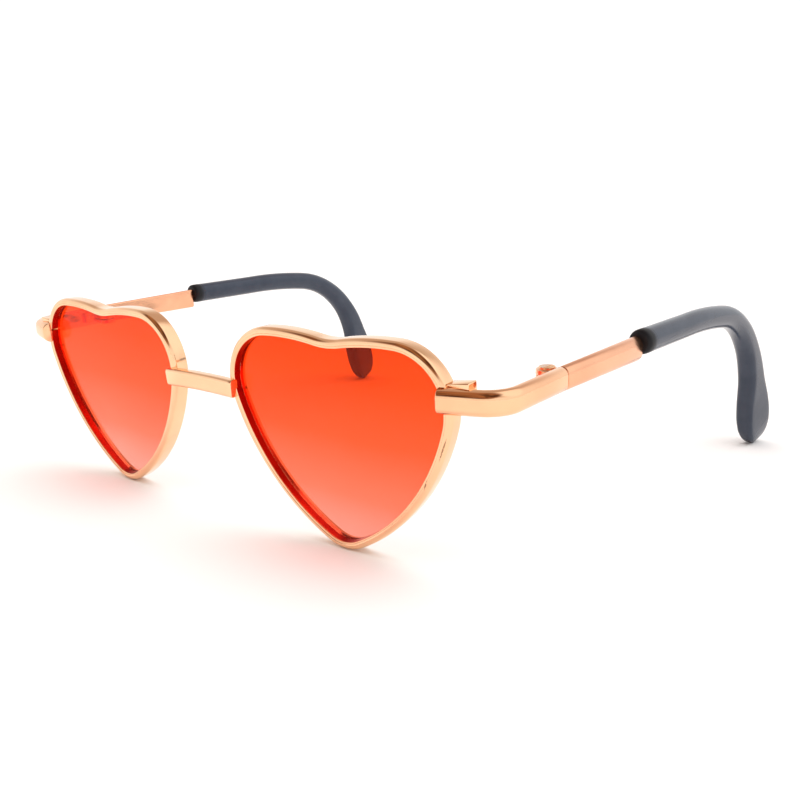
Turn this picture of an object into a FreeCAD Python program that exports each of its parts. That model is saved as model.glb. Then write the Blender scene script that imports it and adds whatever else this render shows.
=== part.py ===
import FreeCAD, Part
import math
import os
from types import SimpleNamespace

import Sketcher
from FreeCAD import Placement, Rotation, Vector

# Small metal sunglasses with two heart shaped rims, as made for a cat, a small dog or a doll.
# Front frame: X to the right as seen from the front, Y from the lenses back to the temple tips, Z up.
# Its origin lies midway between the hearts, on the front plane of the rims, level with the heart tips.
# The finished glasses stand on the two heart tips and the two temple tips, with the floor at Z = 0.

SIZES = [
    ("heart_width", 31.15, "outer width of one rim"),
    ("heart_height", 25.25, "outer height of one rim, from its tip to the top of its lobes"),
    ("dip_depth", 0.65, "depth of the dip between the lobes"),
    ("dip_radius", 9.3, "radius of the dip"),
    ("lobe_offset", 7.36, "from the middle of the heart to the top of a lobe"),
    ("shoulder_radius", 6.91, "radius where a lobe turns down into the side"),
    ("side_radius", 26.23, "radius of the long side"),
    ("tip_radius", 4.97, "radius of the tip at the bottom"),
    ("heart_spacing", 41.23, "between the middles of the two hearts"),
    ("wrap_angle", 2.62, "turn of each rim round the face, in degrees"),
    ("rim_depth", 1.6, "rim from front to back"),
    ("rim_width", 1.2, "rim from its outer wall to the lens opening"),
    ("bead_width", 0.55, "round bead along the front of the outer wall"),
    ("lip_step", 0.3, "the inner lip lies this far behind the bead"),
    ("rim_round", 0.15, "rounding of the rim's inner and back edges"),
    ("rim_slit", 0.2, "cut through the rim between the two lock halves"),
    ("lens_recess", 0.75, "lens face behind the front of the rim"),
    ("lens_thickness", 0.65, "flat lens"),
    ("lens_bevel", 0.3, "bevel on the lens edge, which sits in the rim's groove"),
    ("lens_clearance", 0.03, "between the lens edge and the groove"),
    ("bridge_below", 7.85, "middle of the bridge ends below the top of the lobes"),
    ("bridge_height", 2.15, "height of the bridge strip"),
    ("bridge_thickness", 1.2, "bridge from front to back"),
    ("bridge_proud", 0.8, "front of the bridge ahead of the rims"),
    ("bridge_rise", 0.15, "the bridge arches up by this much"),
    ("strip_thickness", 1.2, "endpiece strip and temple bar from outside to inside"),
    ("strip_round", 0.45, "rounding of the outer edges of the strips"),
    ("strip_edge", 0.2, "rounding of the inner edges of the strips"),
    ("endpiece_below", 5.38, "middle of the endpiece on the rim, below the top of the lobes"),
    ("endpiece_height", 2.7, "height of the endpiece strip"),
    ("endpiece_sweep", 15.0, "the endpiece leaves the rim turned back by this much, in degrees"),
    ("endpiece_bend", 3.6, "radius of the endpiece's corner, at the middle of the strip"),
    ("temple_outset", 5.36, "middle of a temple outside the widest part of its heart"),
    ("seam_setback", 13.5, "from the front plane of the rims back to the temple joint"),
    ("seam_gap", 0.06, "joint between endpiece and temple when open"),
    ("temple_drop", 2.9, "the temples run down from square to the front, in degrees"),
    ("lock_length", 1.9, "rim lock outwards from the rim"),
    ("lock_setback", 0.5, "rim lock behind the front plane of the rim"),
    ("lock_height", 2.5, "both rim lock halves together"),
    ("lock_below", 0.95, "rim lock below the middle of the endpiece"),
    ("lock_screw_diameter", 0.8, "shank of the rim lock screw"),
    ("lock_head_diameter", 1.3, "head of the rim lock screw"),
    ("lock_head_height", 0.35, "head of the rim lock screw"),
    ("lock_cover", 0.4, "metal left over the end of the rim lock screw"),
    ("screw_clearance", 0.02, "round a screw in the piece that it is fixed in"),
    ("barrel_diameter", 2.4, "hinge barrel"),
    ("barrel_height", 2.2, "all three knuckles together"),
    ("knuckle_height", 0.8, "middle knuckle, on the temple leaf"),
    ("knuckle_gap", 0.05, "between two knuckles"),
    ("hinge_clearance", 0.1, "between the barrel and the strips beside it"),
    ("pivot_setback", 0.2, "hinge axis in front of the temple joint"),
    ("leaf_thickness", 0.5, "hinge leaf"),
    ("leaf_length", 3.0, "hinge leaf from the barrel"),
    ("leaf_height", 1.6, "hinge leaf"),
    ("hinge_screw_diameter", 1.1, "shank of the hinge screw"),
    ("hinge_head_diameter", 1.8, "head of the hinge screw"),
    ("hinge_head_height", 0.25, "head of the hinge screw"),
    ("running_clearance", 0.05, "round the hinge screw in the turning knuckle"),
    ("bar_height", 2.6, "height of the temple bar"),
    ("bar_length", 18.0, "temple bar from the joint to the tip"),
    ("core_diameter", 1.0, "thin tail of the temple bar inside the tip"),
    ("core_clearance", 0.02, "round the core in the tip's bore"),
    ("tip_rise", 0.2, "middle of the tip's sleeve above the middle of the temple bar"),
    ("sleeve_diameter", 3.1, "round front part of the tip"),
    ("sleeve_lip", 0.5, "rounding of the tip's front end"),
    ("lead_start", 31.2, "from the joint to where the tip starts to curve down"),
    ("lead_radius", 88.0, "radius of the slow curve before the ear bend"),
    ("lead_angle", 9.0, "turn of the slow curve, in degrees"),
    ("bend_radius", 17.9, "radius of the ear bend"),
    ("bend_angle", 64.0, "turn of the ear bend, in degrees"),
    ("drop_length", 11.0, "tip from the ear bend to its end"),
    ("paddle_width", 6.5, "widest part of the flattened end"),
    ("paddle_thickness", 2.8, "flattened end"),
    ("paddle_turn", 10.0, "the flat side turns this far towards the front, in degrees"),
    ("cut_overrun", 1.0, "cutting shapes run past the metal by this much"),
]

# Sections of the tip: shares passed of the slow curve, of the ear bend and of the drop, how far the section
# has gone from the round sleeve (0) to the flat paddle (1), and the share left of it as the end rounds off.
TIP_SECTION_SHARES = [
    (0.0, 0.0, 0.0, 0.0, 1.0),
    (0.3, 0.0, 0.0, 0.0, 1.0),
    (0.6, 0.0, 0.0, 0.01, 1.0),
    (1.0, 0.0, 0.0, 0.03, 1.0),
    (1.0, 0.35, 0.0, 0.08, 1.0),
    (1.0, 0.7, 0.0, 0.22, 1.0),
    (1.0, 1.0, 0.0, 0.5, 1.0),
    (1.0, 1.0, 0.3, 0.85, 1.0),
    (1.0, 1.0, 0.55, 1.0, 1.0),
    (1.0, 1.0, 0.75, 1.0, 0.94),
    (1.0, 1.0, 0.89, 1.0, 0.76),
    (1.0, 1.0, 0.97, 1.0, 0.54),
    (1.0, 1.0, 1.0, 1.0, 0.36),
]
ROUND_CORNER_SHARE = 0.5
PADDLE_CORNER_SHARE = 0.3
RING_FLAT_SHARE = 0.1
LOFT_DEGREE = 3
CORE_LEAD_SHARE = 0.9
BORE_LEAD_SHARE = 1.0
SIDES = {"right": 1, "left": -1}


class Dim:
    """A size of the sheet, or a sum of such sizes: its value and the expression that gives it."""

    def __init__(self, value, text):
        self.value = value
        self.text = text

    def __add__(self, other):
        other = as_dim(other)
        return Dim(self.value + other.value, f"({self.text} + {other.text})")

    def __sub__(self, other):
        other = as_dim(other)
        return Dim(self.value - other.value, f"({self.text} - {other.text})")

    def __mul__(self, other):
        other = as_dim(other)
        return Dim(self.value * other.value, f"({self.text} * {other.text})")

    def __truediv__(self, other):
        other = as_dim(other)
        return Dim(self.value / other.value, f"({self.text} / {other.text})")

    def __neg__(self):
        return self * -1


def as_dim(number):
    return number if isinstance(number, Dim) else Dim(number, repr(number))


def cosine(angle):
    return Dim(math.cos(math.radians(angle.value)), f"cos({angle.text} * 1 deg)")


def sine(angle):
    return Dim(math.sin(math.radians(angle.value)), f"sin({angle.text} * 1 deg)")


doc = FreeCAD.newDocument("heart_sunglasses")
sheet = doc.addObject("Spreadsheet::Sheet", "Sizes")
for row, (alias, value, meaning) in enumerate(SIZES, 1):
    sheet.set(f"A{row}", meaning)
    sheet.set(f"B{row}", str(value))
    sheet.setAlias(f"B{row}", alias)
doc.recompute()
s = SimpleNamespace(**{alias: Dim(sheet.get(alias), f"Sizes.{alias}") for alias, _, _ in SIZES})
ZERO = Dim(0.0, "0")
bridge_level = s.heart_height - s.bridge_below
endpiece_level = s.heart_height - s.endpiece_below
temple_spacing = s.heart_spacing + s.heart_width + s.temple_outset * 2


def bind(thing, sizes):
    for name, size in sizes.items():
        thing.setExpression(name, size.text)
    return thing


def new_sketch(body, name, role, offset=None):
    """A sketch on one of the body's own origin planes, moved along the plane's normal by offset."""
    sketch = body.newObject("Sketcher::SketchObject", name)
    plane = next(f for f in body.Origin.OriginFeatures if f.Role == role)
    sketch.AttachmentSupport = [(plane, "")]
    sketch.MapMode = "FlatFace"
    if offset:
        bind(sketch, {".AttachmentOffset.Base.z": offset})
    return sketch


def dimension(sketch, kind, *target, size):
    index = sketch.addConstraint(Sketcher.Constraint(kind, *target, size.value))
    label = f"size_{index}"
    sketch.renameConstraint(index, label)
    sketch.setExpression("Constraints." + label, size.text)


def pin_point(sketch, element, point, x, y):
    dimension(sketch, "DistanceX", -1, 1, element, point, size=x)
    dimension(sketch, "DistanceY", -1, 1, element, point, size=y)


def flat_arc(centre, radius, start, end):
    """An arc in the sketch plane, anticlockwise from start to end."""
    angles = [math.atan2(p[1] - centre[1], p[0] - centre[0]) for p in (start, end)]
    circle = Part.Circle(Vector(*centre, 0), Vector(0, 0, 1), radius)
    return Part.ArcOfCircle(circle, *angles)


def outline(sketch, corners):
    """A closed outline, anticlockwise. A corner is x, y and, where an arc leaves it, that arc's radius."""
    ends = corners[1:] + corners[:1]
    for (x0, y0, radius), (x1, y1, _) in zip(corners, ends):
        a = Vector(x0.value, y0.value, 0)
        b = Vector(x1.value, y1.value, 0)
        if radius is None:
            sketch.addGeometry(Part.LineSegment(a, b))
            continue
        chord = b - a
        inward = Vector(-chord.y, chord.x, 0).normalize()
        reach = math.sqrt(max(radius.value**2 - (chord.Length / 2) ** 2, 0))
        centre = (a + b) / 2 + inward * reach
        sketch.addGeometry(flat_arc((centre.x, centre.y), radius.value, (a.x, a.y), (b.x, b.y)))
    for index, (x, y, radius) in enumerate(corners):
        following = (index + 1) % len(corners)
        sketch.addConstraint(Sketcher.Constraint("Coincident", index, 2, following, 1))
        pin_point(sketch, index, 1, x, y)
        if radius is not None:
            dimension(sketch, "Radius", index, size=radius)


def strip_outline(sketch, width, height, outer_round, inner_round, outer_side):
    """The section of a flat strip about the sketch's origin, rounded more on its outer side."""
    right = outer_round if outer_side > 0 else inner_round
    left = inner_round if outer_side > 0 else outer_round
    x, y = width / 2, height / 2
    outline(
        sketch,
        [
            (left - x, -y, None),
            (x - right, -y, right),
            (x, right - y, None),
            (x, y - right, right),
            (x - right, y, None),
            (left - x, y, left),
            (-x, y - left, None),
            (-x, left - y, left),
        ],
    )


def heart(sketch, inset):
    """The heart of tangent arcs, drawn inset from the rim's outer wall, whose tip is at the origin."""
    lobe_radius = (s.lobe_offset * s.lobe_offset + s.dip_depth * s.dip_depth) / (s.dip_depth * 2)
    lobe_radius = lobe_radius - s.dip_radius
    lobe_level = s.heart_height - lobe_radius
    shoulder_offset = s.heart_width / 2 - s.shoulder_radius
    reach = lobe_radius.value - s.shoulder_radius.value
    across = shoulder_offset.value - s.lobe_offset.value
    shoulder_level = lobe_level.value + math.sqrt(reach**2 - across**2)
    tip = Vector(0, s.tip_radius.value, 0)
    shoulder = Vector(shoulder_offset.value, shoulder_level, 0)
    lobe = Vector(s.lobe_offset.value, lobe_level.value, 0)
    dip = Vector(0, (s.heart_height - s.dip_depth + s.dip_radius).value, 0)
    span = tip - shoulder
    far = s.side_radius.value - s.shoulder_radius.value
    near = s.side_radius.value - s.tip_radius.value
    along = (far**2 - near**2 + span.Length**2) / (2 * span.Length)
    direction = Vector(span).normalize()
    sideways = Vector(direction.y, -direction.x, 0)
    side = shoulder + direction * along + sideways * math.sqrt(far**2 - along**2)

    def meeting(big, small, small_radius):
        return small + (small - big).normalize() * (small_radius.value - inset.value)

    tip_right = meeting(side, tip, s.tip_radius)
    side_top = meeting(side, shoulder, s.shoulder_radius)
    shoulder_top = meeting(lobe, shoulder, s.shoulder_radius)
    lobe_end = lobe + (dip - lobe).normalize() * (lobe_radius.value - inset.value)

    def mirrored(point):
        return Vector(-point.x, point.y, 0)

    right = [
        (side, s.side_radius, tip_right, side_top),
        (shoulder, s.shoulder_radius, side_top, shoulder_top),
        (lobe, lobe_radius, shoulder_top, lobe_end),
    ]
    left = [(mirrored(c), r, mirrored(b), mirrored(a)) for c, r, a, b in reversed(right)]
    arcs = [(tip, s.tip_radius, mirrored(tip_right), tip_right)] + right
    arcs += [(dip, s.dip_radius, mirrored(lobe_end), lobe_end)] + left
    dip_index = len(right) + 1
    radii = [r + inset if i == dip_index else r - inset for i, (_, r, _, _) in enumerate(arcs)]
    for (centre, _, start, end), radius in zip(arcs, radii):
        sketch.addGeometry(flat_arc((centre.x, centre.y), radius.value, (start.x, start.y), (end.x, end.y)))
    count = len(arcs)
    for index in range(count):
        following = (index + 1) % count
        here = 1 if index == dip_index else 2
        there = 2 if following == dip_index else 1
        sketch.addConstraint(Sketcher.Constraint("Tangent", index, here, following, there))
        dimension(sketch, "Radius", index, size=radii[index])
    sketch.addConstraint(Sketcher.Constraint("PointOnObject", 0, 3, -2))
    dimension(sketch, "DistanceY", -1, 1, 0, 3, size=s.tip_radius)
    shoulder_index, lobe_index = 2, 3
    for sign, shoulder_arc, lobe_arc in (
        (1, shoulder_index, lobe_index),
        (-1, count - shoulder_index, count - lobe_index),
    ):
        dimension(sketch, "DistanceX", -1, 1, shoulder_arc, 3, size=shoulder_offset * sign)
        pin_point(sketch, lobe_arc, 3, s.lobe_offset * sign, lobe_level)


def new_body(name):
    return doc.addObject("PartDesign::Body", name)


def pad(body, sketch, length, reverse=False, midplane=False):
    feature = body.newObject("PartDesign::Pad", sketch.Name + "_pad")
    feature.Profile = sketch
    feature.Reversed = reverse
    feature.Midplane = midplane
    bind(feature, {"Length": length})
    sketch.Visibility = False
    return feature


def pipe(body, profile, spine):
    feature = body.newObject("PartDesign::AdditivePipe", profile.Name + "_pipe")
    feature.Profile = profile
    feature.Spine = (spine, [f"Edge{i + 1}" for i in range(spine.GeometryCount)])
    return feature


def block(name, centre, extent):
    """A box about its centre. Centre and extent are sizes along X, Y and Z."""
    box = doc.addObject("Part::Box", name)
    bind(box, dict(zip(("Length", "Width", "Height"), extent)))
    for axis, middle, size in zip("xyz", centre, extent):
        bind(box, {f".Placement.Base.{axis}": middle - size / 2})
    return box


def rod(name, base, diameter, height):
    """An upright cylinder that stands on its base point."""
    cylinder = doc.addObject("Part::Cylinder", name)
    bind(cylinder, {"Radius": diameter / 2, "Height": height})
    for axis, middle in zip("xyz", base):
        bind(cylinder, {f".Placement.Base.{axis}": middle})
    return cylinder


def fuse(name, pieces):
    joined = doc.addObject("Part::MultiFuse", name)
    joined.Shapes = pieces
    joined.Refine = True
    return joined


def cut(name, base, tool):
    result = doc.addObject("Part::Cut", name)
    result.Base = base
    result.Tool = tool
    return result


nodes = {}


def node(name, thing, frame):
    """Names a finished piece and keeps the frame, within the front frame, that it is modelled in."""
    thing.Label = name
    nodes[name] = (thing, frame)


def make_rim(name, side):
    """Drawn wire with a bead, a lip and a groove for the lens, bent to the heart and slit at its lock."""
    body = new_body(name + "_body")
    spine = new_sketch(body, name + "_heart", "XZ_Plane")
    heart(spine, ZERO)
    profile = new_sketch(body, name + "_wire", "YZ_Plane")
    bead = s.bead_width / 2
    groove_end = s.lens_recess + s.lens_thickness
    groove_floor = s.rim_width - s.lens_bevel
    outline(
        profile,
        [
            (s.rim_depth - s.rim_round, ZERO, s.rim_round),
            (s.rim_depth, s.rim_round, None),
            (s.rim_depth, s.rim_width, None),
            (groove_end, s.rim_width, None),
            (groove_end - s.lens_bevel, groove_floor, None),
            (s.lens_recess + s.lens_bevel, groove_floor, None),
            (s.lens_recess, s.rim_width, None),
            (s.lip_step + s.rim_round, s.rim_width, s.rim_round),
            (s.lip_step, s.rim_width - s.rim_round, None),
            (s.lip_step, s.bead_width, None),
            (bead, s.bead_width, bead),
            (ZERO, bead, bead),
            (bead, ZERO, None),
        ],
    )
    doc.recompute()
    pipe(body, profile, spine)
    doc.recompute()
    slit = new_sketch(body, name + "_slit", "XZ_Plane")
    x0 = (s.heart_width / 2 - s.rim_width - s.cut_overrun) * side
    x1 = (s.heart_width / 2 + s.cut_overrun) * side
    low = lock_split - s.rim_slit / 2
    high = lock_split + s.rim_slit / 2
    left, right = sorted((x0, x1), key=lambda size: size.value)
    outline(slit, [(left, low, None), (right, low, None), (right, high, None), (left, high, None)])
    pocket = body.newObject("PartDesign::Pocket", name + "_slit_cut")
    pocket.Profile = slit
    pocket.Type = "ThroughAll"
    pocket.Midplane = True
    node(name, body, rim_frame(side))


def make_lens(name, side):
    """Flat tinted plate with a bevel all round that sits in the rim's groove."""
    body = new_body(name + "_body")
    edge = new_sketch(body, name + "_edge", "XZ_Plane", -s.lens_recess)
    heart(edge, s.rim_width - s.lens_bevel + s.lens_clearance)
    plate = pad(body, edge, s.lens_thickness, reverse=True)
    doc.recompute()
    bevel = body.newObject("PartDesign::Chamfer", name + "_bevel")
    faces = [f"Face{i}" for i, face in enumerate(plate.Shape.Faces, 1) if abs(face.normalAt(0, 0).y) > 0.5]
    bevel.Base = (plate, faces)
    bind(bevel, {"Size": s.lens_bevel})
    node(name, body, rim_frame(side))


def rim_frame(side):
    middle = Vector((s.heart_spacing / 2 * side).value, 0, 0)
    return Placement(middle, Rotation(Vector(0, 0, 1), s.wrap_angle.value * side))


def seat_cutter(name, side, ends, front, level, height):
    """Everything behind a plane of a rim, between two ends along the rim, to trim a strip to it."""
    low, high = sorted((end * side for end in ends), key=lambda size: size.value)
    cutter = block(
        name,
        ((low + high) / 2, front + s.cut_overrun / 2, level),
        (high - low, s.cut_overrun, height + s.cut_overrun),
    )
    doc.recompute()
    local = cutter.Placement
    for path, _ in cutter.ExpressionEngine:
        if "Placement" in path:
            cutter.setExpression(path, None)
    cutter.Placement = rim_frame(side).multiply(local)
    return cutter


def make_bridge():
    """Slightly arched strip whose ends lie on the front of both rims, flush with the lens openings."""
    half_span = s.heart_spacing / 2 - (s.heart_width / 2 - s.rim_width) * cosine(s.wrap_angle)
    radius = (half_span * half_span + s.bridge_rise * s.bridge_rise) / (s.bridge_rise * 2)
    slope = half_span / radius
    sweep = Dim(math.degrees(math.asin(slope.value)), f"asin({slope.text})")
    body = new_body("bridge_body")
    section = new_sketch(body, "bridge_section", "YZ_Plane")
    x, y = s.bridge_thickness / 2, s.bridge_height / 2
    outer, inner = s.strip_round, s.strip_edge
    outline(
        section,
        [
            (outer - x, radius - y, None),
            (x - inner, radius - y, inner),
            (x, radius - y + inner, None),
            (x, radius + y - inner, inner),
            (x - inner, radius + y, None),
            (outer - x, radius + y, outer),
            (-x, radius + y - outer, None),
            (-x, radius - y + outer, outer),
        ],
    )
    arch = body.newObject("PartDesign::Revolution", "bridge_arch")
    arch.Profile = section
    arch.ReferenceAxis = (next(f for f in body.Origin.OriginFeatures if f.Role == "Y_Axis"), [""])
    arch.Midplane = True
    bind(arch, {"Angle": sweep * 2})
    rim_front = (s.heart_width / 2 - s.rim_width) * sine(s.wrap_angle)
    forward = rim_front + s.bridge_proud - s.bridge_thickness / 2
    top = bridge_level + s.bridge_rise - radius
    body.Placement = Placement(Vector(0, -forward.value, top.value), Rotation())
    result = body
    for name, side in SIDES.items():
        ends = (-s.heart_width / 2, s.rim_width + s.cut_overrun - s.heart_width / 2)
        seat = seat_cutter(f"bridge_{name}_seat", side, ends, ZERO, bridge_level, s.bridge_height)
        result = cut(f"bridge_{name}_trim", result, seat)
    node("bridge", result, Placement())


def endpiece_start():
    """Where the endpiece's middle line starts, at the lens opening: X and Y in the front frame."""
    along = s.heart_width / 2 - s.rim_width
    forward = s.strip_thickness / 2 - s.endpiece_height / 2 * sine(s.temple_drop)
    x = s.heart_spacing / 2 + along * cosine(s.wrap_angle) + forward * sine(s.wrap_angle)
    y = along * sine(s.wrap_angle) - forward * cosine(s.wrap_angle)
    return x, y


def temple_frame(side):
    """Its origin is the middle of the temple joint, with Y along the temple."""
    x = (temple_spacing / 2 * side).value
    rotation = Rotation(Vector(1, 0, 0), -s.temple_drop.value)
    return Placement(Vector(x, s.seam_setback.value, seam_level.value), rotation)


def make_endpiece(name, side):
    """Strip from the front of the rim round the corner to the temple joint."""
    body = new_body(name + "_body")
    start_x, start_y = endpiece_start()
    x = (start_x - temple_spacing / 2) * side
    y = (start_y - s.seam_setback) / cosine(s.temple_drop)
    bend = s.endpiece_bend
    lead = math.radians((s.wrap_angle + s.endpiece_sweep).value)
    front = Vector(x.value, y.value, 0)
    ahead = Vector(math.cos(lead) * side, math.sin(lead), 0)
    run = (bend.value * (math.sin(lead) - 1) - front.x * side) / math.cos(lead)
    corner_start = front + ahead * run
    centre = Vector(-bend.value * side, corner_start.y + bend.value * math.cos(lead), 0)
    corner_end = Vector(0, centre.y, 0)
    spine = new_sketch(body, name + "_path", "XY_Plane")
    spine.addGeometry(Part.LineSegment(Vector(0, -s.seam_gap.value, 0), corner_end))
    ends = (corner_start, corner_end) if side > 0 else (corner_end, corner_start)
    spine.addGeometry(flat_arc((centre.x, centre.y), bend.value, ends[0][:2], ends[1][:2]))
    spine.addGeometry(Part.LineSegment(corner_start, front))
    at_end, at_start = (2, 1) if side > 0 else (1, 2)
    spine.addConstraint(Sketcher.Constraint("PointOnObject", 0, 1, -2))
    spine.addConstraint(Sketcher.Constraint("Vertical", 0))
    dimension(spine, "DistanceY", 0, 1, -1, 1, size=s.seam_gap)
    spine.addConstraint(Sketcher.Constraint("Tangent", 0, 2, 1, at_end))
    spine.addConstraint(Sketcher.Constraint("Tangent", 1, at_start, 2, 1))
    dimension(spine, "Radius", 1, size=bend)
    pin_point(spine, 2, 2, x, y)
    section = new_sketch(body, name + "_section", "XZ_Plane", s.seam_gap)
    strip_outline(section, s.strip_thickness, s.endpiece_height, s.strip_round, s.strip_edge, side)
    doc.recompute()
    pipe(body, section, spine)
    body.Placement = temple_frame(side)
    edge = s.heart_width / 2
    result = body
    for part, ends, plane in (
        ("seat", (edge - s.rim_width - s.cut_overrun, edge), ZERO),
        ("lock_seat", (edge, edge + s.lock_length), s.lock_setback),
    ):
        seat = seat_cutter(f"{name}_{part}", side, ends, plane, endpiece_level, s.endpiece_height)
        result = cut(f"{name}_{part}_trim", result, seat)
    node(name, result, Placement())


def make_lock(name, side, heart_blank):
    """Closing block in two halves on the rim's ends, drawn together by a screw from below."""
    floor = endpiece_level - s.lock_below
    ceiling = floor + s.lock_height
    inner = s.heart_width / 2 - s.rim_width - s.cut_overrun
    outer = s.heart_width / 2 + s.lock_length
    screw_x = (s.heart_width / 2 + s.lock_length / 2) * side
    screw_y = s.lock_setback + s.rim_depth / 2
    halves = {
        "lower": (floor, lock_split - s.rim_slit / 2),
        "upper": (lock_split + s.rim_slit / 2, ceiling),
    }
    bore = s.lock_screw_diameter + s.screw_clearance * 2
    tip = ceiling - s.lock_cover
    for half, (low, high) in halves.items():
        label = f"{name}_rim_lock_{half}"
        blank = block(
            label + "_blank",
            ((inner + outer) / 2 * side, screw_y, (low + high) / 2),
            (outer - inner, s.rim_depth, high - low),
        )
        fitted = cut(label + "_fitted", blank, heart_blank)
        start = low - s.cut_overrun
        drill = rod(label + "_drill", (screw_x, screw_y, start), bore, tip + s.screw_clearance - start)
        node(label, cut(label + "_bored", fitted, drill), rim_frame(side))
    head_base = floor - s.lock_head_height
    shank = rod(name + "_lock_shank", (screw_x, screw_y, head_base), s.lock_screw_diameter, tip - head_base)
    head = rod(name + "_lock_head", (screw_x, screw_y, head_base), s.lock_head_diameter, s.lock_head_height)
    node(name + "_rim_lock_screw", fuse(name + "_lock_screw", [shank, head]), rim_frame(side))


def make_hinge(name, side):
    """Three knuckle hinge on the inner side, with its leaves on the endpiece and the temple bar."""
    inner_face = s.strip_thickness / 2
    reach = s.barrel_diameter / 2 + s.hinge_clearance
    pivot_x = -(inner_face + reach) * side
    pivot_y = -s.pivot_setback
    base = -s.barrel_height / 2
    sweep = s.barrel_diameter + s.hinge_clearance * 2
    plate_x = -(inner_face + s.leaf_thickness / 2) * side
    gap_height = s.knuckle_height + s.knuckle_gap * 2
    bore = s.hinge_screw_diameter + s.screw_clearance * 2
    loose_bore = s.hinge_screw_diameter + s.running_clearance * 2

    def upright(part, diameter, low, height):
        return rod(f"{name}_{part}", (pivot_x, pivot_y, low), diameter, height)

    plate = block(
        name + "_front_plate",
        (plate_x, pivot_y - s.hinge_clearance - s.leaf_length / 2, ZERO),
        (s.leaf_thickness, s.leaf_length, s.leaf_height),
    )
    barrel = upright("front_barrel", s.barrel_diameter, base, s.barrel_height)
    gap = upright("front_gap", sweep, -gap_height / 2, gap_height)
    drill = upright("front_drill", bore, base - s.cut_overrun, s.barrel_height + s.cut_overrun * 2)
    leaf = cut(name + "_front_gapped", fuse(name + "_front_joined", [plate, barrel]), gap)
    node(name + "_hinge_front_leaf", cut(name + "_front_bored", leaf, drill), temple_frame(side))

    plate = block(
        name + "_temple_plate",
        (plate_x, pivot_y + reach + s.leaf_length / 2, ZERO),
        (s.leaf_thickness, s.leaf_length, s.leaf_height),
    )
    arm_thickness = s.leaf_thickness - s.hinge_clearance
    arm = block(
        name + "_temple_arm",
        (-(inner_face + s.hinge_clearance + arm_thickness / 2) * side, pivot_y + reach / 2, ZERO),
        (arm_thickness, reach, s.knuckle_height),
    )
    knuckle = upright("temple_knuckle", s.barrel_diameter, -s.knuckle_height / 2, s.knuckle_height)
    drill = upright("temple_drill", loose_bore, base, s.barrel_height)
    leaf = fuse(name + "_temple_joined", [plate, arm, knuckle])
    node(name + "_hinge_temple_leaf", cut(name + "_temple_bored", leaf, drill), temple_frame(side))

    shank = upright("hinge_shank", s.hinge_screw_diameter, base, s.barrel_height + s.hinge_head_height)
    head = upright("hinge_head", s.hinge_head_diameter, -base, s.hinge_head_height)
    node(name + "_hinge_screw", fuse(name + "_hinge_screw_joined", [shank, head]), temple_frame(side))
    return temple_frame(side).multVec(Vector(pivot_x.value, pivot_y.value, 0))


def core_path(body, name, lead_share):
    """From the end of the temple bar along the tip and round a share of its slow curve."""
    spine = new_sketch(body, name, "YZ_Plane")
    start = Vector(s.bar_length.value, s.tip_rise.value, 0)
    lead_start = Vector(s.lead_start.value, s.tip_rise.value, 0)
    radius = s.lead_radius.value
    centre = (lead_start.x, lead_start.y - radius)
    turn = s.lead_angle * lead_share
    angle = math.radians(turn.value)
    end = (centre[0] + radius * math.sin(angle), centre[1] + radius * math.cos(angle))
    spine.addGeometry(Part.LineSegment(start, lead_start))
    spine.addGeometry(flat_arc(centre, radius, end, lead_start[:2]))
    pin_point(spine, 0, 1, s.bar_length, s.tip_rise)
    spine.addConstraint(Sketcher.Constraint("Horizontal", 0))
    dimension(spine, "DistanceX", -1, 1, 0, 2, size=s.lead_start)
    spine.addConstraint(Sketcher.Constraint("Tangent", 0, 2, 1, 2))
    dimension(spine, "Radius", 1, size=s.lead_radius)
    dimension(spine, "DistanceX", -1, 1, 1, 1, size=s.lead_start + s.lead_radius * sine(turn))
    return spine


def round_section(body, name, diameter):
    section = new_sketch(body, name, "XZ_Plane", -s.bar_length)
    section.addGeometry(Part.Circle(Vector(0, s.tip_rise.value, 0), Vector(0, 0, 1), diameter.value / 2))
    pin_point(section, 0, 3, ZERO, s.tip_rise)
    dimension(section, "Diameter", 0, size=diameter)
    return section


def make_temple_bar(name, side):
    """Gold bar whose end is drawn down to a thin core that stiffens the tip."""
    body = new_body(name + "_body")
    section = new_sketch(body, name + "_section", "XZ_Plane")
    strip_outline(section, s.strip_thickness, s.bar_height, s.strip_round, s.strip_edge, side)
    pad(body, section, s.bar_length, reverse=True)
    spine = core_path(body, name + "_core_path", CORE_LEAD_SHARE)
    core = round_section(body, name + "_core", s.core_diameter)
    doc.recompute()
    pipe(body, core, spine)
    node(name, body, temple_frame(side))


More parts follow.
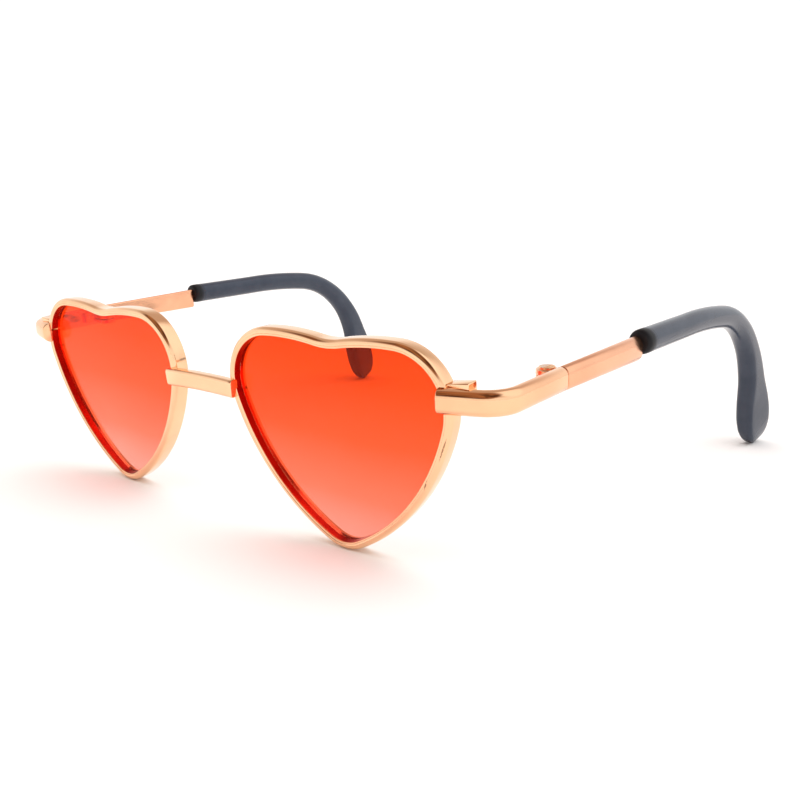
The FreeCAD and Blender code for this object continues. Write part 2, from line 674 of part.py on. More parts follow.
def tip_section(name, lead_share, bend_share, drop_share, flat_share, left_share, side):
    """The outline of the tip at a place along it: round on the sleeve, a rounded oblong on the paddle."""
    point = Vector(0, s.lead_start.value, s.tip_rise.value)
    across = Vector(0, 0, 1)
    for radius, turn in (
        (s.lead_radius.value, s.lead_angle.value * lead_share),
        (s.bend_radius.value, s.bend_angle.value * bend_share),
    ):
        centre = point - across * radius
        across = Rotation(Vector(1, 0, 0), -turn).multVec(across)
        point = centre + across * radius
    ahead = across.cross(Vector(1, 0, 0))
    point = point + ahead * (s.drop_length.value * drop_share)
    turn = Rotation(ahead, s.paddle_turn.value * flat_share * side)
    section = doc.addObject("Sketcher::SketchObject", name)
    section.Placement = Placement(point, turn.multiply(Rotation(across.cross(ahead), across, ahead, "ZXY")))
    width = (s.sleeve_diameter + (s.paddle_width - s.sleeve_diameter) * flat_share) * left_share
    thickness = (s.sleeve_diameter + (s.paddle_thickness - s.sleeve_diameter) * flat_share) * left_share
    if flat_share:
        corner_share = ROUND_CORNER_SHARE + (PADDLE_CORNER_SHARE - ROUND_CORNER_SHARE) * flat_share
        corner = thickness * corner_share
        strip_outline(section, thickness, width, corner, corner, side)
        return section
    radius = width / 2
    near, far = radius * RING_FLAT_SHARE, radius * math.sqrt(1 - RING_FLAT_SHARE**2)
    places = [(-near, -far), (near, -far), (far, -near), (far, near)]
    outline(section, [(sign * x, sign * y, radius) for sign in (as_dim(1), as_dim(-1)) for x, y in places])
    return section


def make_temple_tip(name, side):
    """Moulded black tip: a round sleeve that bends down behind the ear and flattens to a paddle."""
    start = (ZERO, s.bar_length, s.tip_rise)
    sleeve = rod(name + "_sleeve", start, s.sleeve_diameter, s.lead_start - s.bar_length)
    sleeve.Placement.Rotation = Rotation(Vector(1, 0, 0), -90)
    doc.recompute()
    lip = doc.addObject("Part::Fillet", name + "_lip")
    lip.Base = sleeve
    rings = [i for i, edge in enumerate(sleeve.Shape.Edges, 1) if edge.isClosed()]
    front = min(rings, key=lambda i: sleeve.Shape.Edges[i - 1].CenterOfMass.y)
    lip.Edges = [(front, s.sleeve_lip.value, s.sleeve_lip.value)]
    loft = doc.addObject("Part::Loft", name + "_loft")
    loft.Sections = [
        tip_section(f"{name}_section_{index}", *shares, side)
        for index, shares in enumerate(TIP_SECTION_SHARES)
    ]
    loft.Solid = True
    loft.MaxDegree = LOFT_DEGREE
    moulding = fuse(name + "_moulding", [lip, loft])
    bore_body = new_body(name + "_bore_body")
    spine = core_path(bore_body, name + "_bore_path", BORE_LEAD_SHARE)
    bore = round_section(bore_body, name + "_bore", s.core_diameter + s.core_clearance * 2)
    doc.recompute()
    pipe(bore_body, bore, spine)
    node(name, cut(name + "_bored", moulding, bore_body), temple_frame(side))


# The rim locks close at this level, behind the endpieces, and the temple joint lies at the other one.
lock_split = endpiece_level - s.lock_below + s.lock_height / 2
endpiece_run = (s.seam_setback - endpiece_start()[1]) / cosine(s.temple_drop)
seam_level = endpiece_level - endpiece_run * sine(s.temple_drop)

blank_body = new_body("heart_blank_body")
blank_sketch = new_sketch(blank_body, "heart_blank_outline", "XZ_Plane")
heart(blank_sketch, ZERO)
pad(blank_body, blank_sketch, (s.rim_depth + s.cut_overrun) * 2, midplane=True)

pivots = {}
make_bridge()
for side_name, side in SIDES.items():
    make_rim(side_name + "_rim", side)
    make_lens(side_name + "_lens", side)
    make_endpiece(side_name + "_endpiece", side)
    make_lock(side_name, side, blank_body)
    pivots[side_name] = make_hinge(side_name, side)
    make_temple_bar(side_name + "_temple_bar", side)
    make_temple_tip(side_name + "_temple_tip", side)
doc.recompute()

for thing in doc.Objects:
    if "Invalid" in thing.State or "Error" in thing.State:
        raise RuntimeError(f"{thing.Label} failed: {thing.State}")


def turned(names, angle):
    """The named pieces in the front frame, leaned by an angle about the X axis."""
    lean = Placement(Vector(), Rotation(Vector(1, 0, 0), angle))
    shapes = []
    for name in names:
        thing, frame = nodes[name]
        shape = thing.Shape.copy()
        shape.Placement = lean.multiply(frame).multiply(shape.Placement)
        shapes.append(shape)
    return Part.makeCompound(shapes)


def tip_lift(angle):
    """How far the temple tips stand above the heart tips when the glasses lean by an angle."""
    tips = turned(["right_temple_tip"], angle).optimalBoundingBox().ZMin
    return tips - turned(["right_rim"], angle).optimalBoundingBox().ZMin


# The glasses tip forward until the temple tips and the heart tips stand on one floor.
lean_low, lean_high = -45.0, 45.0
for _ in range(40):
    lean_middle = (lean_low + lean_high) / 2
    if tip_lift(lean_middle) < 0:
        lean_low = lean_middle
    else:
        lean_high = lean_middle
lean_angle = lean_high
whole = turned(nodes, lean_angle).optimalBoundingBox()
shift = Vector(0, -whole.Center.y, -whole.ZMin)
stand = Placement(shift, Rotation(Vector(1, 0, 0), lean_angle))

for name, (thing, frame) in nodes.items():
    thing.Placement = stand.multiply(frame).multiply(thing.Placement)
doc.recompute()

os.makedirs("parts", exist_ok=True)
for name, (thing, _) in nodes.items():
    if thing.Shape.isNull() or not thing.Shape.isValid():
        raise RuntimeError(f"{name} has no valid shape")
    if "Invalid" in thing.State or "Error" in thing.State:
        raise RuntimeError(f"{name} failed: {thing.State}")
for name, (thing, _) in nodes.items():
    thing.Shape.exportStep(f"parts/{name}.step")

axis = stand.multiply(temple_frame(1)).Rotation.multVec(Vector(0, 0, 1))
extent = " x ".join(f"{length:.2f}" for length in (whole.XLength, whole.YLength, whole.ZLength))
print(f"lean {lean_angle:.3f} degrees, size {extent} mm")
print("hinge axis", [round(v, 6) for v in axis])
for side_name, point in pivots.items():
    print(side_name, "hinge at", [round(v, 4) for v in stand.multVec(point)])
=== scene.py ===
import math

import bmesh
import bpy
from mathutils import Matrix, Vector


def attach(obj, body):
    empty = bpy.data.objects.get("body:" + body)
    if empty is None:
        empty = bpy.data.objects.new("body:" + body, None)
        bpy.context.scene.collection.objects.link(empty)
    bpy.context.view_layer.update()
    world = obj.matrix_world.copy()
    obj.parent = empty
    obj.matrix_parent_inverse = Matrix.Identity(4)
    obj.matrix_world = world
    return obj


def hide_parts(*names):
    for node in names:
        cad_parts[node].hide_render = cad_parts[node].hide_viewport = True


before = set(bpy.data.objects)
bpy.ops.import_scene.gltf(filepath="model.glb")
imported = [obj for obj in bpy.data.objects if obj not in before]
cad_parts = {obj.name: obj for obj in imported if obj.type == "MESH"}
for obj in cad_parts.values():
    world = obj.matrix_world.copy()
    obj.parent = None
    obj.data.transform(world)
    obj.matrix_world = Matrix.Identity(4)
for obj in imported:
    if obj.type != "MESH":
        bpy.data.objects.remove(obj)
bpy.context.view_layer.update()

# Rims. Each heart is one drawn wire of rose gold plated metal, with a round bead along its front
# that falls in a cove to a thin lip, and a groove inside that holds the lens. The wire is bent to
# the heart, and its two ends meet at a slit in the rim lock at the outer side.
heart_width, heart_height = 31.15, 25.25
dip_depth, dip_radius, lobe_offset = 0.65, 9.3, 7.36
shoulder_radius, side_radius, tip_radius = 6.91, 26.23, 4.97
heart_spacing, wrap_angle = 41.23, math.radians(2.62)
rim_depth, rim_width, rim_round, rim_draft = 2.1, 0.95, 0.15, 0.07
bead_radius, cove_radius, cove_angle, lip_round = 0.6, 0.1, 50, 0.1
lens_recess, lens_thickness, lens_bevel = 1.05, 0.65, 0.3
rim_slit, rim_lock_split = 0.2, 20.17
bead_steps, cove_steps, lip_steps, round_steps = 12, 6, 6, 4
quarter = 90
sharp_angle = math.radians(38)
merge_distance, cut_distance = 0.002, 1e-4
millimetre = 0.001
stand_lean, stand_shift = math.radians(6.2933), Vector((0, -36.8424, -0.0283))
stand_turn = Matrix.Rotation(stand_lean, 4, "X")
stand = Matrix.Scale(millimetre, 4) @ Matrix.Translation(stand_shift) @ stand_turn
sides = {"right": 1, "left": -1}


def verts_in(parts):
    return [part for part in parts if isinstance(part, bmesh.types.BMVert)]


def everything(mesh):
    return mesh.verts[:] + mesh.edges[:] + mesh.faces[:]


def once(parts):
    """Each part once, in the order in which they come."""
    return list(dict.fromkeys(parts))


def merge(mesh):
    bmesh.ops.remove_doubles(mesh, verts=mesh.verts, dist=merge_distance)


def close_holes(mesh):
    """Fills the open ends of a mesh and gives the new faces."""
    openings = [edge for edge in mesh.edges if edge.is_boundary]
    return bmesh.ops.holes_fill(mesh, edges=openings)["faces"]


def draw(mesh, start, runs):
    """Draws a line in the YZ plane. A run is a point to go to, or a centre, degrees and steps."""
    end = mesh.verts.new((0, *start))
    for run in runs:
        if len(run) == 2:
            end = bmesh.ops.extrude_vert_indiv(mesh, verts=[end])["verts"][0]
            end.co = (0, *run)
            continue
        y, z, degrees, steps = run
        turn = math.radians(degrees)
        turned = bmesh.ops.spin(
            mesh, geom=[end], cent=(0, y, z), axis=(1, 0, 0), angle=turn, steps=steps
        )
        end = verts_in(turned["geom_last"])[0]
    merge(mesh)


def finish(name, mesh, place, material, body, side=1):
    """Sets a right hand piece, or its mirror image, where its CAD node is and takes its place."""
    mirrored = Matrix.Scale(side, 4, (1, 0, 0))
    merge(mesh)
    bmesh.ops.transform(mesh, matrix=stand @ mirrored @ place, verts=mesh.verts)
    bmesh.ops.recalc_face_normals(mesh, faces=mesh.faces)
    for face in mesh.faces:
        face.smooth = True
    for edge in mesh.edges:
        edge.smooth = edge.calc_face_angle(0) < sharp_angle
    data = bpy.data.meshes.new(name)
    mesh.to_mesh(data)
    mesh.free()
    data.materials.append(material)
    piece = bpy.data.objects.new(name, data)
    bpy.context.scene.collection.objects.link(piece)
    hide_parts(name)
    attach(piece, body)
    return piece


class Shade:
    """A socket in a material's nodes. Sums and products of such sockets add Math nodes."""

    def __init__(self, tree, socket=None):
        self.tree = tree
        self.socket = socket

    def node(self, kind, settings, inputs, output=0):
        node = self.tree.nodes.new("ShaderNode" + kind)
        for key, value in settings.items():
            if key != "stops":
                setattr(node, key, value)
                continue
            for index, (position, colour) in enumerate(value):
                stops = node.color_ramp.elements
                stop = stops[index] if index < len(stops) else stops.new(position)
                stop.position = position
                stop.color = colour
        for key, value in inputs.items():
            if isinstance(value, Shade):
                self.tree.links.new(value.socket, node.inputs[key])
            else:
                node.inputs[key].default_value = value
        return Shade(self.tree, node.outputs[output])

    def math(self, operation, first, second):
        return self.node("Math", {"operation": operation}, {0: first, 1: second})

    def __add__(self, other):
        return self.math("ADD", self, other)

    def __sub__(self, other):
        return self.math("SUBTRACT", self, other)

    def __rsub__(self, other):
        return self.math("SUBTRACT", other, self)

    def __mul__(self, other):
        return self.math("MULTIPLY", self, other)

    __radd__ = __add__
    __rmul__ = __mul__

    def band(self, low, high, start=0.0, end=1.0):
        """The value moved from between low and high to between start and end, and held there."""
        limits = {"From Min": low, "From Max": high, "To Min": start, "To Max": end}
        smooth = {"interpolation_type": "SMOOTHSTEP"}
        return self.node("MapRange", smooth, {"Value": self, **limits})

    def mix(self, first, second):
        """A colour between two others, with this value as the share of the second."""
        return self.node("Mix", {"data_type": "RGBA"}, {"Factor": self, 6: first, 7: second}, 2)

    def axis(self, letter):
        """One coordinate of this vector."""
        return self.node("SeparateXYZ", {}, {"Vector": self}, letter)

    def noise(self, scale=1.0, detail=2.0):
        """Noise at the place that this vector gives."""
        return self.node("TexNoise", {}, {"Vector": self, "Scale": scale, "Detail": detail})

    def cells(self, scale):
        """The distance to the nearest of many scattered points."""
        return self.node("TexVoronoi", {}, {"Vector": self, "Scale": scale})

    def place(self, turn=(0, 0, 0), stretch=(1, 1, 1)):
        """Object coordinates, turned and stretched."""
        coordinates = self.node("TexCoord", {}, {}, "Object")
        moves = {"Vector": coordinates, "Rotation": turn, "Scale": stretch}
        return self.node("Mapping", {}, moves)

    def bump(self, strength, reach):
        """A normal for a surface that has this value as its height."""
        return self.node("Bump", {}, {"Strength": strength, "Distance": reach, "Height": self})


def new_material(name):
    material = bpy.data.materials.new(name)
    material.use_nodes = True
    return material, material.node_tree.nodes["Principled BSDF"], Shade(material.node_tree)


def set_sockets(shader, links, constants):
    for key, value in links.items():
        value.tree.links.new(value.socket, shader.inputs[key])
    for key, value in constants.items():
        shader.inputs[key].default_value = value


fine_detail, finest_detail = 3.0, 4.0
drift_scale, drift_span = 180, (0.3, 0.7)
haze_scale, haze_span, haze_roughness = 900, (0.42, 0.72), 0.07
pit_scale, pit_span, pit_roughness = 650, (0.06, 0.11), 0.3
worn_scale, worn_span = 260, (0.62, 0.72)
chip_scale, chip_span, dent_span = 2600, (0.38, 0.5), (0.5, 1.0)
pit_brown, pit_cover = (0.16, 0.07, 0.03, 1), 0.7
scratch_turn, scratch_height = (0.5, 0.3, 0.8), 0.5
plate_bump, plate_bump_reach = 0.06, 0.00004


def gold_plate(name, light, deep, polish, grain, dents=()):
    """Bright plating: its tint drifts along the piece, with handling haze, scratches and pits."""
    material, shader, nodes = new_material(name)
    place = nodes.place()
    drift = place.noise(drift_scale).band(*drift_span)
    haze = place.noise(haze_scale, finest_detail).band(*haze_span)
    scratch = nodes.place(scratch_turn, grain).noise(detail=fine_detail)
    worn = place.noise(worn_scale).band(*worn_span)
    pit = (1 - place.cells(pit_scale).band(*pit_span)) * worn
    chipped = place.noise(chip_scale, fine_detail).band(*chip_span)
    for centre, tilt, reach in dents:
        moves = {"Vector": place, "Location": centre, "Rotation": (0, tilt, 0), "Scale": reach}
        inside = nodes.node("Mapping", {"vector_type": "TEXTURE"}, moves)
        away = nodes.node("VectorMath", {"operation": "LENGTH"}, {0: inside}, "Value")
        pit = pit + (1 - away.band(*dent_span)) * chipped
    colour = drift.mix((*light, 1), (*deep, 1))
    colour = (pit * pit_cover).mix(colour, pit_brown)
    roughness = polish + haze * haze_roughness + pit * pit_roughness
    normal = (scratch * scratch_height - pit).bump(plate_bump, plate_bump_reach)
    links = {"Base Color": colour, "Roughness": roughness, "Normal": normal}
    set_sockets(shader, links, {"Metallic": 1.0})
    return material


# A scratch and a pit on the right rim: centre in metres, tilt, and half sizes in metres.
rim_dents = [
    ((0.03493, -0.03775, 0.0145), math.radians(22), (0.00009, 0.001, 0.0017)),
    ((0.03257, -0.03737, 0.0103), math.radians(20), (0.00012, 0.001, 0.0008)),
]
rim_gold = gold_plate(
    "rim_gold",
    light=(0.98, 0.63, 0.38),
    deep=(0.95, 0.56, 0.33),
    polish=0.1,
    grain=(300, 4000, 900),
    dents=rim_dents,
)
# The lens bed, the rim's inner wall between its lip and the lens, is plated dark red: a painted
# reflection of the red lens edge in the gold.
painted_lens_reflection = gold_plate(
    "lens_bed_painted_reflection",
    light=(0.42, 0.02, 0.01),
    deep=(0.28, 0.01, 0.008),
    polish=0.22,
    grain=(900, 900, 900),
)

lobe_radius = (lobe_offset**2 + dip_depth**2) / (2 * dip_depth) - dip_radius
tip_centre = Vector((0, tip_radius))
lobe_centre = Vector((lobe_offset, heart_height - lobe_radius))
dip_centre = Vector((0, heart_height - dip_depth + dip_radius))
shoulder_x = heart_width / 2 - shoulder_radius
shoulder_rise = math.sqrt((lobe_radius - shoulder_radius) ** 2 - (shoulder_x - lobe_offset) ** 2)
shoulder_centre = Vector((shoulder_x, lobe_centre.y + shoulder_rise))
span = tip_centre - shoulder_centre
far, near = side_radius - shoulder_radius, side_radius - tip_radius
along = (far**2 - near**2 + span.length_squared) / (2 * span.length)
span.normalize()
aside = Vector((span.y, -span.x))
side_centre = shoulder_centre + span * along + aside * math.sqrt(far**2 - along**2)


def heading(start, end):
    return math.atan2(end.y - start.y, end.x - start.x)


turns = [
    -math.pi / 2,
    heading(side_centre, tip_centre),
    heading(side_centre, shoulder_centre),
    heading(lobe_centre, shoulder_centre),
    heading(lobe_centre, dip_centre),
    math.pi / 2,
]
arc_centres = [tip_centre, side_centre, shoulder_centre, lobe_centre, dip_centre]
arc_steps = [24, 36, 36, 22, 8]


def bend_to_heart(mesh):
    """Spins what is drawn at the heart's tip round the arcs of its right half, and mirrors that."""
    last = mesh.verts[:] + mesh.edges[:]
    for centre, start, end, steps in zip(arc_centres, turns, turns[1:], arc_steps):
        bent = bmesh.ops.spin(
            mesh,
            geom=last,
            cent=(centre.x, 0, centre.y),
            axis=(0, -1, 0),
            angle=end - start,
            steps=steps,
        )
        last = bent["geom_last"]
    bmesh.ops.mirror(
        mesh, geom=everything(mesh), matrix=Matrix(), merge_dist=merge_distance, axis="X"
    )
    merge(mesh)


rim_place = Matrix.Translation((heart_spacing / 2, 0, 0)) @ Matrix.Rotation(wrap_angle, 4, "Z")
groove_end = lens_recess + lens_thickness
groove_floor = rim_width - lens_bevel
cove_turn = math.radians(cove_angle)
cove_fall = cove_radius * (1 - math.cos(cove_turn))
cove_middle = bead_radius + cove_radius * math.sin(cove_turn) * 2
lip_front = cove_fall * 2
for name, side in sides.items():
    rim = bmesh.new()
    draw(
        rim,
        (bead_radius, 0),
        [
            (bead_radius, bead_radius, -quarter, bead_steps),
            (cove_radius, bead_radius, -cove_angle, cove_steps),
            (lip_front - cove_radius, cove_middle, cove_angle, cove_steps),
            (lip_front, rim_width - lip_round),
            (lip_front + lip_round, rim_width - lip_round, -quarter, lip_steps),
            (lens_recess, rim_width),
            (lens_recess + lens_bevel, groove_floor),
            (groove_end - lens_bevel, groove_floor),
            (groove_end, rim_width),
            (rim_depth - rim_round, rim_width),
            (rim_depth - rim_round, rim_width - rim_round, -quarter, round_steps),
            (rim_depth, rim_draft + rim_round),
            (rim_depth - rim_round, rim_draft + rim_round, -quarter, round_steps),
            (bead_radius, 0),
        ],
    )
    bend_to_heart(rim)
    # Faces of the lens bed take the second material, the painted red reflection of the lens.
    for face in rim.faces:
        depths = [v.co.y for v in face.verts]
        bed = (lip_front + lip_round - min(depths), lens_recess - max(depths))
        face.material_index = int(all(abs(step) < merge_distance for step in bed))
    for level in (rim_lock_split - rim_slit / 2, rim_lock_split + rim_slit / 2):
        outer_half = [f for f in rim.faces if f.calc_center_median().x > 0]
        around = once(part for f in outer_half for part in (*f.verts, *f.edges))
        bmesh.ops.bisect_plane(
            rim,
            geom=[*around, *outer_half],
            dist=cut_distance,
            plane_co=(0, 0, level),
            plane_no=(0, 0, 1),
        )
    centres = {f: f.calc_center_median() for f in rim.faces}
    gap = [f for f, c in centres.items() if abs(c.z - rim_lock_split) < rim_slit / 2 and c.x > 0]
    bmesh.ops.delete(rim, geom=gap, context="FACES")
    close_holes(rim)
    piece = finish(name + "_rim", rim, rim_place, rim_gold, "front", side)
    piece.data.materials.append(painted_lens_reflection)

# Lenses. Each is a flat plate of clear plastic, dyed orange red at the top and fading to pink
# below, cut to the heart with a bevel all round that sits in the groove of its rim.
lens_gap = 0.03
lens_top, lens_bottom = 0.0245, 0.001
tint_stops = [
    (0.0, (1.0, 0.42, 0.34, 1)),
    (0.25, (1.0, 0.21, 0.12, 1)),
    (0.55, (1.0, 0.112, 0.033, 1)),
    (0.85, (1.0, 0.075, 0.008, 1)),
    (1.0, (1.0, 0.06, 0.004, 1)),
]
paler_reach, paler_shares = 0.03, (-0.04, 0.03)
cloud_scale, cloud_share, noise_middle = 120, 0.05, 0.5
speck_scale, speck_span = 240, (0.02, 0.035)
speck_red, speck_cover = (0.5, 0.03, 0.01, 1), 0.1
smear_turn, smear_stretch = (0, 0, 0.4), (60, 60, 380)
smear_span, smear_roughness = (0.45, 0.8), 0.03
lens_transmission, lens_ior = 0.93, 1.18
tinted, shader, nodes = new_material("tinted_lens")
place = nodes.place()
paler = place.axis("X").band(-paler_reach, paler_reach, *paler_shares)
clouding = (place.noise(cloud_scale) - noise_middle) * cloud_share
fade = (place.axis("Z") - lens_bottom) * (1 / (lens_top - lens_bottom)) + clouding + paler
tint = nodes.node("ValToRGB", {"stops": tint_stops}, {"Fac": fade})
specks = 1 - place.cells(speck_scale).band(*speck_span)
tint = (specks * speck_cover).mix(tint, speck_red)
smear = nodes.place(smear_turn, smear_stretch).noise().band(*smear_span)
set_sockets(
    shader,
    {"Base Color": tint, "Roughness": smear * smear_roughness},
    {"Transmission Weight": lens_transmission, "IOR": lens_ior},
)


def soften(mesh, edges, width, segments):
    bmesh.ops.bevel(
        mesh, geom=edges, offset=width, segments=segments, profile=0.5, material=-1, affect="EDGES"
    )


for name, side in sides.items():
    lens = bmesh.new()
    lens.verts.new((0, lens_recess, groove_floor + lens_gap))
    bend_to_heart(lens)
    bmesh.ops.edgeloop_fill(lens, edges=lens.edges)
    back = bmesh.ops.extrude_face_region(lens, geom=lens.faces[:], use_keep_orig=True)["geom"]
    bmesh.ops.translate(lens, verts=verts_in(back), vec=(0, lens_thickness, 0))
    plates = [f for f in lens.faces if len(f.verts) > 4]
    soften(lens, once(e for f in plates for e in f.edges), lens_bevel, segments=1)
    finish(name + "_lens", lens, rim_place, tinted, "front", side)

# Bridge. A slightly arched strip of the same plated metal, its front edges rounded, soldered
# across the fronts of both rims with its ends cut flush with the lens openings.
bridge_level, bridge_height, bridge_thickness = 17.4, 2.15, 1.2
bridge_proud, bridge_rise, bridge_inset, bridge_round = 0.78, 0.15, 1.0, 0.4
bridge_steps = 20
strip_edge, strip_end_round, outer_steps, soft_segments = 0.2, 0.14, 8, 3


def strip_section(mesh, thickness, height, outer):
    """Draws a flat strip's section in the YZ plane, rounded more on its outer side, towards -Y."""
    y, z = thickness / 2, height / 2
    inner = strip_edge
    draw(
        mesh,
        (y - inner, -z),
        [
            (y - inner, inner - z, quarter, round_steps),
            (y, z - inner),
            (y - inner, z - inner, quarter, round_steps),
            (outer - y, z),
            (outer - y, z - outer, quarter, outer_steps),
            (-y, outer - z),
            (outer - y, outer - z, quarter, outer_steps),
            (y - inner, -z),
        ],
    )


def close_ends(mesh, softness):
    """Closes the open ends of a swept strip and rounds off their edges."""
    ends = close_holes(mesh)
    soften(mesh, once(edge for face in ends for edge in face.edges), softness, soft_segments)


bridge_gold = gold_plate(
    "bridge_gold",
    light=(0.98, 0.66, 0.41),
    deep=(0.95, 0.58, 0.35),
    polish=0.11,
    grain=(4000, 500, 700),
)
bridge_seat = heart_width / 2 - bridge_inset
half_span = heart_spacing / 2 - bridge_seat * math.cos(wrap_angle)
arch_radius = (half_span**2 + bridge_rise**2) / (2 * bridge_rise)
arch_angle = math.asin(half_span / arch_radius)
arch_centre = (0, 0, -arch_radius)
arch_start = Matrix.Rotation(-arch_angle, 3, "Y")
bridge = bmesh.new()
strip_section(bridge, bridge_thickness, bridge_height, bridge_round)
bmesh.ops.rotate(bridge, verts=bridge.verts, cent=arch_centre, matrix=arch_start)
bmesh.ops.spin(
    bridge,
    geom=bridge.verts[:] + bridge.edges[:],
    cent=arch_centre,
    axis=(0, 1, 0),
    angle=2 * arch_angle,
    steps=bridge_steps,
)
close_ends(bridge, strip_end_round)
bridge_forward = bridge_seat * math.sin(wrap_angle) + bridge_proud - bridge_thickness / 2
bridge_place = Matrix.Translation((0, -bridge_forward, bridge_level + bridge_rise))
finish("bridge", bridge, bridge_place, bridge_gold, "front")

# Rim locks. Two small plated blocks soldered to the ends of each rim wire behind the endpiece,
# drawn together by a slotted screw from below, so that the rim closes on its lens. The upper
# block's top rises a little to its outer end.
lock_length, lock_setback, lock_depth = 1.9, 0.5, 1.6
lock_floor, lock_ceiling = 18.92, 21.42
lock_softness, lock_sink, lock_flare = 0.12, 0.06, 0.3
lock_screw_radius, lock_head_radius, lock_head_height, lock_cover = 0.4, 0.65, 0.35, 0.4
screw_steps, slot_width, slot_depth = 32, 0.2, 0.16
head_round_share, facing_up = 1 / 3, 0.5


def block(mesh, low, high, softness):
    """A box between two corners with softened edges."""
    low, high = Vector(low), Vector(high)
    verts = bmesh.ops.create_cube(mesh, size=1)["verts"]
    bmesh.ops.scale(mesh, verts=verts, vec=high - low)
    bmesh.ops.translate(mesh, verts=verts, vec=(low + high) / 2)
    soften(mesh, once(e for v in verts for e in v.link_edges), softness, soft_segments)


def turn_round(mesh, steps):
    """Spins a drawn profile all the way round the Z axis."""
    bmesh.ops.spin(
        mesh,
        geom=mesh.verts[:] + mesh.edges[:],
        cent=(0, 0, 0),
        axis=(0, 0, 1),
        angle=2 * math.pi,
        steps=steps,
        use_merge=True,
    )
    merge(mesh)
    bmesh.ops.recalc_face_normals(mesh, faces=mesh.faces)


def screw(radius, head_radius, head_height, length, slot, depth):
    """A slotted screw that stands on the tip of its shank, with its head up."""
    mesh = bmesh.new()
    soft = head_height * head_round_share
    shoulder, top = length + head_height - soft, length + head_height
    draw(
        mesh,
        (0, 0),
        [
            (radius - soft, 0),
            (radius, soft),
            (radius, length),
            (head_radius, length),
            (head_radius, shoulder),
            (head_radius - soft, shoulder, quarter, round_steps),
            (0, top),
        ],
    )
    turn_round(mesh, screw_steps)
    for x in (-slot / 2, slot / 2):
        bmesh.ops.bisect_plane(
            mesh,
            geom=everything(mesh),
            dist=cut_distance,
            plane_co=(x, 0, 0),
            plane_no=(1, 0, 0),
        )
    crown = {f: f.calc_center_median() for f in mesh.faces if f.normal.z > facing_up}
    floor = [f for f, c in crown.items() if c.z > shoulder and abs(c.x) < slot / 2]
    sunk = verts_in(bmesh.ops.extrude_face_region(mesh, geom=floor)["geom"])
    bmesh.ops.translate(mesh, verts=sunk, vec=(0, 0, -depth))
    return mesh


def wall_at(level):
    """How far out the rim's outer wall is at a level."""
    return shoulder_centre.x + math.sqrt(shoulder_radius**2 - (level - shoulder_centre.y) ** 2)


screw_gold = gold_plate(
    "screw_gold",
    light=(0.9, 0.55, 0.33),
    deep=(0.8, 0.46, 0.26),
    polish=0.2,
    grain=(2500, 2500, 400),
)
lock_screw_length = lock_ceiling - lock_cover - lock_floor
lock_screw_top = Matrix.Translation(
    (
        heart_width / 2 + lock_length / 2,
        lock_setback + lock_depth / 2,
        lock_floor + lock_screw_length,
    )
)
lock_screw_place = rim_place @ lock_screw_top @ Matrix.Rotation(math.pi, 4, "X")
lock_halves = {
    "lower": (lock_floor, rim_lock_split - rim_slit / 2),
    "upper": (rim_lock_split + rim_slit / 2, lock_ceiling),
}
for name, side in sides.items():
    for half, (low, high) in lock_halves.items():
        lock = bmesh.new()
        centre = (low + high) / 2
        wall = wall_at(centre) - lock_sink
        slope = (wall_at(high) - wall_at(low)) / (high - low)
        block(
            lock,
            (wall, lock_setback, low),
            (heart_width / 2 + lock_length, lock_setback + lock_depth, high),
            lock_softness,
        )
        for vert in lock.verts:
            if vert.co.x < wall + lock_softness * 2:
                vert.co.x += slope * (vert.co.z - centre)
            elif vert.co.z > lock_ceiling - lock_softness * 2:
                vert.co.z += lock_flare
        finish(f"{name}_rim_lock_{half}", lock, rim_place, rim_gold, "front", side)
    lock_screw = screw(
        lock_screw_radius,
        lock_head_radius,
        lock_head_height,
        lock_screw_length,
        slot_width,
        slot_depth,
    )
    screw_name = name + "_rim_lock_screw"
    finish(screw_name, lock_screw, lock_screw_place, screw_gold, "front", side)

# Endpieces. A plated strip soldered across the front of each rim, swept back, bent round the
# corner in one wide bend and cut square where the temple meets it.
temple_spacing, temple_drop, seam_setback, seam_gap = 83.1, math.radians(2.9), 13.5, 0.06
endpiece_level, endpiece_height, endpiece_bend = 19.87, 2.7, 3.6
endpiece_sweep, strip_thickness, endpiece_inset = math.radians(15), 1.2, 1.2
endpiece_rise = 0.09
strip_round, endpiece_steps, seam_round = 0.95, 24, 0.12
opening = heart_width / 2 - endpiece_inset
forward = strip_thickness / 2 - endpiece_height / 2 * math.sin(temple_drop)
start_x = heart_spacing / 2 + opening * math.cos(wrap_angle) + forward * math.sin(wrap_angle)
start_y = opening * math.sin(wrap_angle) - forward * math.cos(wrap_angle)
endpiece_run = (seam_setback - start_y) / math.cos(temple_drop)
seam_level = endpiece_level - endpiece_run * math.sin(temple_drop)
seam_place = Matrix.Translation((temple_spacing / 2, seam_setback, seam_level))
temple_place = seam_place @ Matrix.Rotation(-temple_drop, 4, "X")
lead = wrap_angle + endpiece_sweep
ahead = Vector((math.cos(lead), math.sin(lead), 0))
front = Vector((start_x - temple_spacing / 2, -endpiece_run, 0))
reach = (endpiece_bend * (math.sin(lead) - 1) - front.x) / math.cos(lead)
corner = front + ahead * reach
bend_centre = Vector((-endpiece_bend, corner.y + endpiece_bend * math.cos(lead), 0))
endpiece_gold = gold_plate(
    "endpiece_gold",
    light=(0.96, 0.57, 0.335),
    deep=(0.9, 0.49, 0.28),
    polish=0.1,
    grain=(900, 900, 4000),
)


def edges_in(parts):
    return [part for part in parts if isinstance(part, bmesh.types.BMEdge)]


def carry_on(mesh, last, move):
    """Extrudes a strip's open end by a straight run and gives the new end."""
    drawn = bmesh.ops.extrude_edge_only(mesh, edges=edges_in(last))["geom"]
    verts = verts_in(drawn)
    bmesh.ops.translate(mesh, verts=verts, vec=move)
    return verts + [edge for edge in edges_in(drawn) if set(edge.verts) <= set(verts)]


